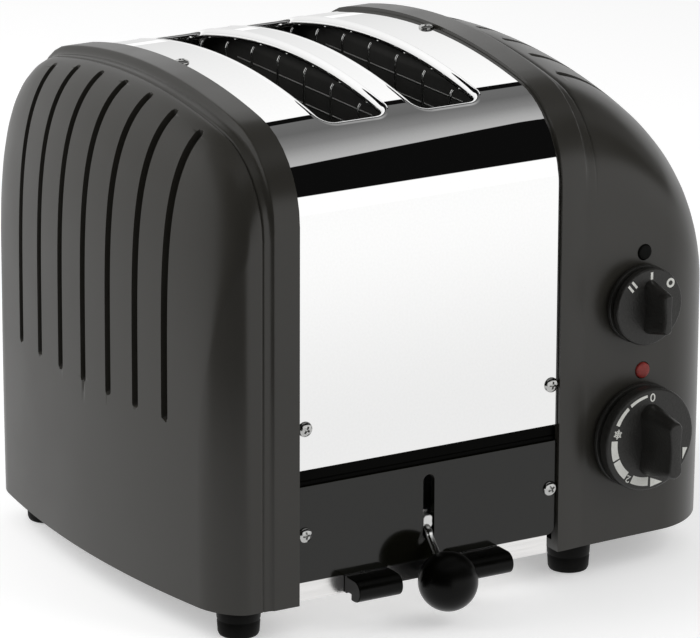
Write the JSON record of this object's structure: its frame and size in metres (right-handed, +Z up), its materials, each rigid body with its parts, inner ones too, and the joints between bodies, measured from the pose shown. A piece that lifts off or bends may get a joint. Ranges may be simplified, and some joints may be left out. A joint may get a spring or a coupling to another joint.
{
  "type": "two-slice toaster",
  "caption": "Polished steel toaster with domed grooved cast ends, a front bread lever with a ball, a dial timer, a selector dial and a drop-down crumb tray.",
  "frame": {"origin": "under the middle of the whole toaster's bounding box, on the surface that it stands on", "axes": "+Z up, +X to the right seen from the front, along the row from the plain end to the control end, and -Y towards the front, where the lever and the dials are"},
  "size_m": [0.2596, 0.2334, 0.2199],
  "materials": {
    "casing_enamel": "satin",
    "panel_enamel": "satin",
    "polished_steel": "polished",
    "seal_strip": "satin",
    "foot_rubber": "matte",
    "screw_steel": "satin",
    "chassis_steel": "satin",
    "mica": "matte",
    "bright_wire": "satin",
    "tray_steel": "satin",
    "black_plastic": "satin",
    "dial_plastic": "satin",
    "lamp_red": "gloss",
    "switch_ceramic": "matte",
    "gland_rubber": "matte"
  },
  "bodies": {
    "toaster_body": {"left_end_casing": "casing_enamel", "right_end_casing": "casing_enamel", "steel_wrap": "polished_steel", "front_base_panel": "panel_enamel", "rear_base_panel": "panel_enamel", "front_seal_strip": "seal_strip", "rear_seal_strip": "seal_strip", "foot_front_left": "foot_rubber", "foot_rear_left": "foot_rubber", "foot_front_right": "foot_rubber", "foot_rear_right": "foot_rubber", "screw_front_upper_left": "screw_steel", "screw_front_lower_left": "screw_steel", "screw_rear_upper_left": "screw_steel", "screw_rear_lower_left": "screw_steel", "screw_front_upper_right": "screw_steel", "screw_front_lower_right": "screw_steel", "screw_rear_upper_right": "screw_steel", "screw_rear_lower_right": "screw_steel", "screw_top_left": "screw_steel", "screw_top_right": "screw_steel", "inner_plate_left": "chassis_steel", "inner_plate_right": "chassis_steel", "chamber_front_wall": "chassis_steel", "chamber_rear_wall": "chassis_steel", "heater_left": "mica", "heater_centre": "mica", "heater_right": "mica", "wire_guard_left_inner": "bright_wire", "wire_guard_left_outer": "bright_wire", "wire_guard_right_inner": "bright_wire", "wire_guard_right_outer": "bright_wire", "guide_rod_left": "bright_wire", "guide_rod_right": "bright_wire", "tray_hinge_pin": "screw_steel", "control_bracket": "chassis_steel", "timer_case": "chassis_steel", "selector_switch": "switch_ceramic", "pilot_lamp_lens": "lamp_red", "pilot_lamp_holder": "black_plastic", "button_switch": "switch_ceramic", "cord_gland": "gland_rubber", "terminal_block": "switch_ceramic"},
    "bread_carriage": {"bread_rack_left": "bright_wire", "bread_rack_right": "bright_wire", "carriage_crossbar": "chassis_steel", "lever_arm": "bright_wire", "lever_ball": "black_plastic"},
    "timer_dial": {"timer_shaft": "bright_wire", "timer_knob": "dial_plastic"},
    "selector_dial": {"selector_shaft": "bright_wire", "selector_knob": "dial_plastic"},
    "push_button": {"push_button": "black_plastic"},
    "crumb_tray": {"crumb_tray": "tray_steel", "tray_pull_left": "black_plastic", "tray_pull_right": "black_plastic"}
  },
  "joints": [
    {"name": "bread_lift", "type": "slide", "parent": "toaster_body", "child": "bread_carriage", "axis": [0, 0, 1], "range_m": [0, 0.017]},
    {"name": "timer_turn", "type": "hinge", "parent": "toaster_body", "child": "timer_dial", "pos_m": [0.07716, -0.08754, 0.06081], "axis": [-0.0408, 0.9992, 0], "range_deg": [0, 300]},
    {"name": "selector_turn", "type": "hinge", "parent": "toaster_body", "child": "selector_dial", "pos_m": [0.07716, -0.08754, 0.1179], "axis": [-0.0408, 0.9992, 0], "range_deg": [-45, 45]},
    {"name": "button_press", "type": "slide", "parent": "toaster_body", "child": "push_button", "axis": [-0.0408, 0.9992, 0], "range_m": [0, 0.002], "stiffness_N_per_m": 300},
    {"name": "tray_drop", "type": "hinge", "parent": "toaster_body", "child": "crumb_tray", "pos_m": [-0.02391, 0.10514, 0.0196], "axis": [1, 0, 0], "range_deg": [0, 75]}
  ]
}
